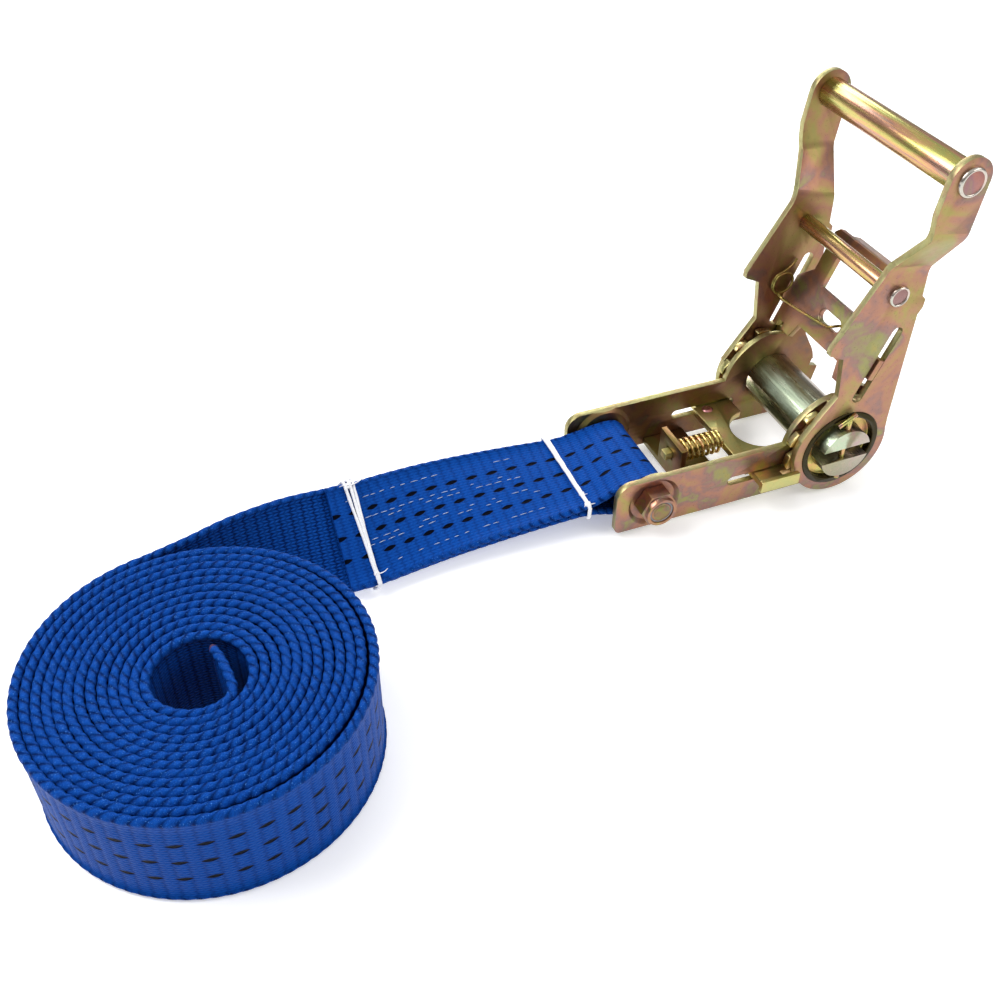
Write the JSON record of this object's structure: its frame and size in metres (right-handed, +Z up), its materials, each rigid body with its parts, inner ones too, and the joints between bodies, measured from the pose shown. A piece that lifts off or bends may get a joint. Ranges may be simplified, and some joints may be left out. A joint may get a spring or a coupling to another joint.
{
  "type": "ratchet tie down",
  "caption": "Webbing strap sewn round the bolt of a ratchet buckle, with its free length coiled; the buckle's slotted spool winds in and tensions the strap's free end.",
  "frame": {"origin": "on the floor, under the middle of the whole object's box", "axes": "+Z up, +X along the buckle from the strap bolt towards the spool, +Y along the spool's axis"},
  "size_m": [0.3224, 0.1572, 0.1401],
  "materials": {
    "frame_steel": "yellow zinc chromate, iridescent",
    "handle_steel": "yellow zinc chromate, iridescent pink",
    "spool_steel": "pale zinc chromate, turned",
    "wheel_steel": "yellow zinc chromate",
    "pin_steel": "yellow zinc chromate, glossy",
    "spring_steel": "zinc plated spring wire",
    "nylon": "nylon",
    "webbing": "woven polyester, black tracer marks",
    "string": "twisted cotton string"
  },
  "bodies": {
    "frame": {"frame_plate_near": "frame_steel", "frame_plate_far": "frame_steel", "frame_bridge": "frame_steel", "strap_bolt": "pin_steel", "lock_nut": "pin_steel", "nut_insert": "nylon", "base_pawl_spring": "spring_steel", "strap_coil": "webbing", "strap_lead": "webbing", "strap_loop": "webbing", "tie_string_coil": "string", "tie_string_buckle": "string"},
    "spool": {"half_moon_upper": "spool_steel", "half_moon_lower": "spool_steel", "ratchet_wheel_near": "wheel_steel", "ratchet_wheel_far": "wheel_steel", "retainer_near": "pin_steel", "retainer_far": "pin_steel"},
    "handle": {"handle_plate_near": "handle_steel", "handle_plate_far": "handle_steel", "grip_tube": "pin_steel", "grip_pin": "pin_steel", "spacer_pin": "pin_steel", "handle_pawl_spring": "spring_steel"},
    "handle_pawl": {"handle_pawl": "handle_steel"},
    "base_pawl": {"base_pawl": "frame_steel"}
  },
  "joints": [
    {"name": "spool_turn", "type": "hinge", "parent": "frame", "child": "spool", "pos_m": [0.136, 0.037, 0.0215], "axis": [0, 1, 0], "continuous": true},
    {"name": "handle_swing", "type": "hinge", "parent": "frame", "child": "handle", "pos_m": [0.136, 0.037, 0.0215], "axis": [0, 1, 0], "range_deg": [-82, 81]},
    {"name": "handle_pawl_pull", "type": "slide", "parent": "handle", "child": "handle_pawl", "axis": [0.3665, 0, 0.9304], "range_m": [0, 0.006], "stiffness_N_per_m": 400, "springref_m": -0.008, "deforming": ["handle_pawl_spring"]},
    {"name": "base_pawl_pull", "type": "slide", "parent": "frame", "child": "base_pawl", "axis": [-1, 0, 0], "range_m": [0, 0.006], "stiffness_N_per_m": 400, "springref_m": -0.008, "deforming": ["base_pawl_spring"]}
  ]
}
